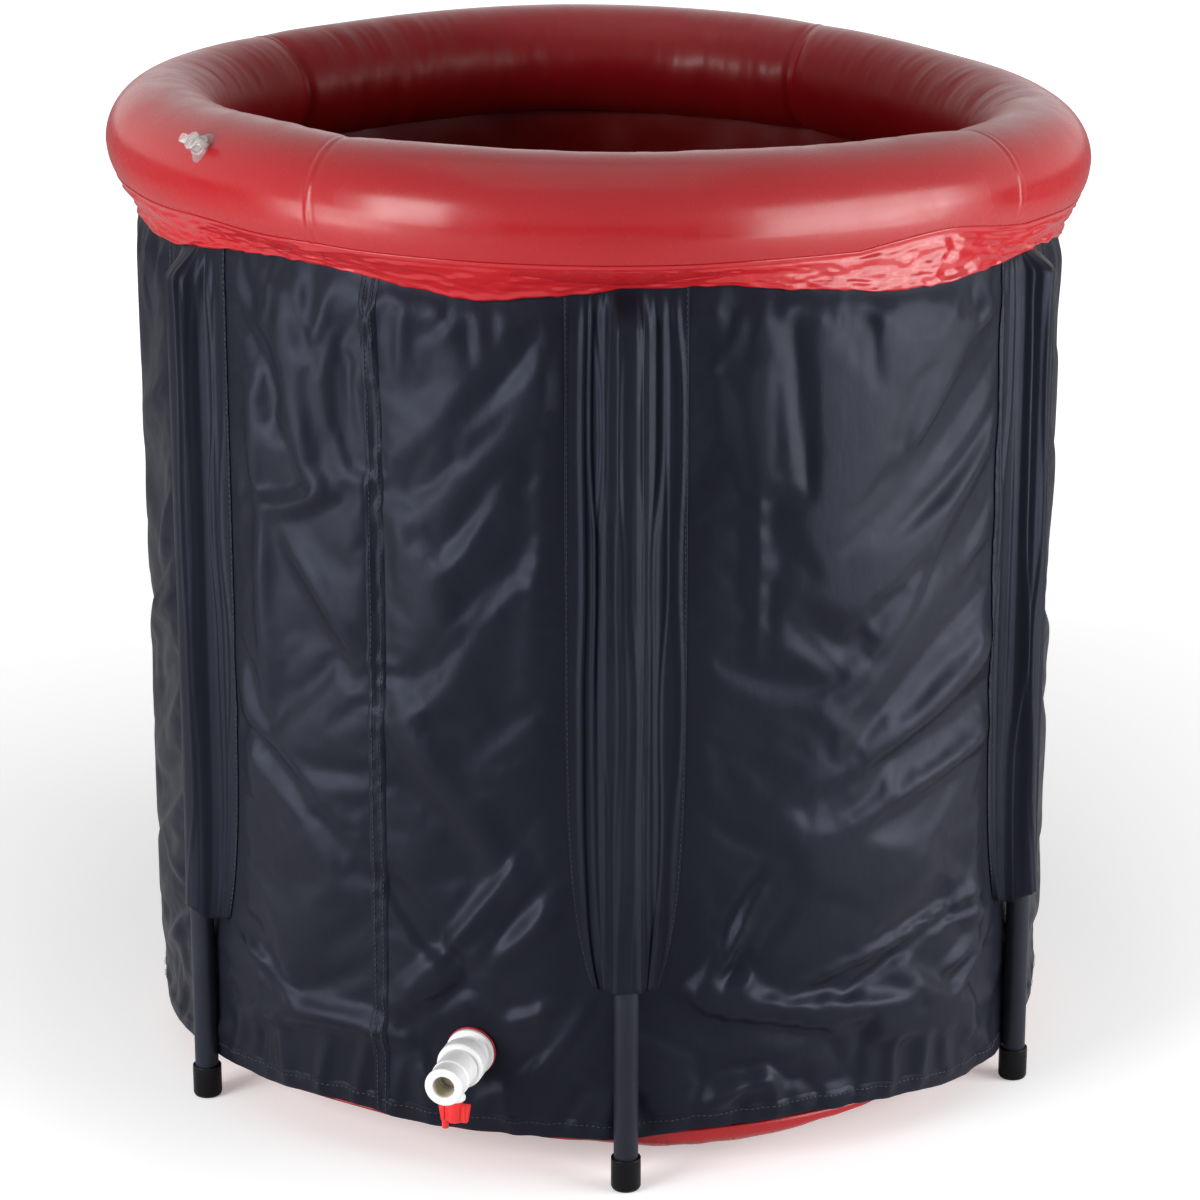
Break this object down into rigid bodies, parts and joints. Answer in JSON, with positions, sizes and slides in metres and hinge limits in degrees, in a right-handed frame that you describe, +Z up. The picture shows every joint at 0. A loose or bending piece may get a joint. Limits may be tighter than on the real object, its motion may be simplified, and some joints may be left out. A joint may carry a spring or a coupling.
{
  "type": "cold plunge tub",
  "caption": "Round portable soaking tub with a soft liner, inflatable rim, fabric cover on removable poles, drain tap and air valve.",
  "frame": {"origin": "on the floor, under the middle of the tub's round wall, where the middle of the soft floor lies on the ground", "axes": "+Z up; the drain tap points along -Y; +X to the right when facing the tap"},
  "size_m": [0.7416, 0.808, 0.7622],
  "materials": {
    "red_vinyl": "satin",
    "black_cloth": "satin",
    "foam": "matte",
    "grey_pole": "satin",
    "black_rubber": "satin",
    "white_plastic": "satin",
    "red_plastic": "satin",
    "steel": "satin",
    "clear_vinyl": "gloss"
  },
  "bodies": {
    "tub": {"inflatable_ring": "red_vinyl", "ring_skirt": "red_vinyl", "fabric_cover": "black_cloth", "insulation_foam": "foam", "liner_wall": "red_vinyl", "liner_floor": "red_vinyl", "pole_pocket_1": "black_cloth", "pole_pocket_2": "black_cloth", "pole_pocket_3": "black_cloth", "pole_pocket_4": "black_cloth", "pole_pocket_5": "black_cloth", "pole_pocket_6": "black_cloth", "drain_bulkhead": "white_plastic", "drain_inner_gasket": "black_rubber", "drain_outer_gasket": "red_vinyl", "drain_flange_nut": "white_plastic", "tap_inlet": "white_plastic", "tap_inner_seat": "white_plastic", "tap_outer_seat": "white_plastic", "tap_body": "white_plastic", "air_valve_disc": "clear_vinyl", "air_valve_stem": "clear_vinyl", "air_valve_flap": "clear_vinyl"},
    "pole_1_set": {"pole_1": "grey_pole", "foot_cap_1": "black_rubber", "top_cap_1": "black_rubber"},
    "pole_2_set": {"pole_2": "grey_pole", "foot_cap_2": "black_rubber", "top_cap_2": "black_rubber"},
    "pole_3_set": {"pole_3": "grey_pole", "foot_cap_3": "black_rubber", "top_cap_3": "black_rubber"},
    "pole_4_set": {"pole_4": "grey_pole", "foot_cap_4": "black_rubber", "top_cap_4": "black_rubber"},
    "pole_5_set": {"pole_5": "grey_pole", "foot_cap_5": "black_rubber", "top_cap_5": "black_rubber"},
    "pole_6_set": {"pole_6": "grey_pole", "foot_cap_6": "black_rubber", "top_cap_6": "black_rubber"},
    "tap_spindle": {"tap_ball": "white_plastic", "tap_stem": "white_plastic", "tap_stem_o_ring": "black_rubber", "tap_handle": "red_plastic", "tap_handle_screw": "steel"},
    "air_stopper": {"air_valve_stopper": "clear_vinyl"}
  },
  "joints": [
    {"name": "pole_1_slide", "type": "slide", "parent": "tub", "child": "pole_1_set", "axis": [0, 0, -1], "range_m": [0, 0.49]},
    {"name": "pole_2_slide", "type": "slide", "parent": "tub", "child": "pole_2_set", "axis": [0, 0, -1], "range_m": [0, 0.49]},
    {"name": "pole_3_slide", "type": "slide", "parent": "tub", "child": "pole_3_set", "axis": [0, 0, -1], "range_m": [0, 0.49]},
    {"name": "pole_4_slide", "type": "slide", "parent": "tub", "child": "pole_4_set", "axis": [0, 0, -1], "range_m": [0, 0.49]},
    {"name": "pole_5_slide", "type": "slide", "parent": "tub", "child": "pole_5_set", "axis": [0, 0, -1], "range_m": [0, 0.49]},
    {"name": "pole_6_slide", "type": "slide", "parent": "tub", "child": "pole_6_set", "axis": [0, 0, -1], "range_m": [0, 0.49]},
    {"name": "tap_turn", "type": "hinge", "parent": "tub", "child": "tap_spindle", "pos_m": [0, -0.39276, 0.099], "axis": [0, 0, -1], "range_deg": [0, 90]},
    {"name": "stopper_pull", "type": "slide", "parent": "tub", "child": "air_stopper", "axis": [-0.4984, -0.6377, 0.5874], "range_m": [0, 0.01]}
  ]
}
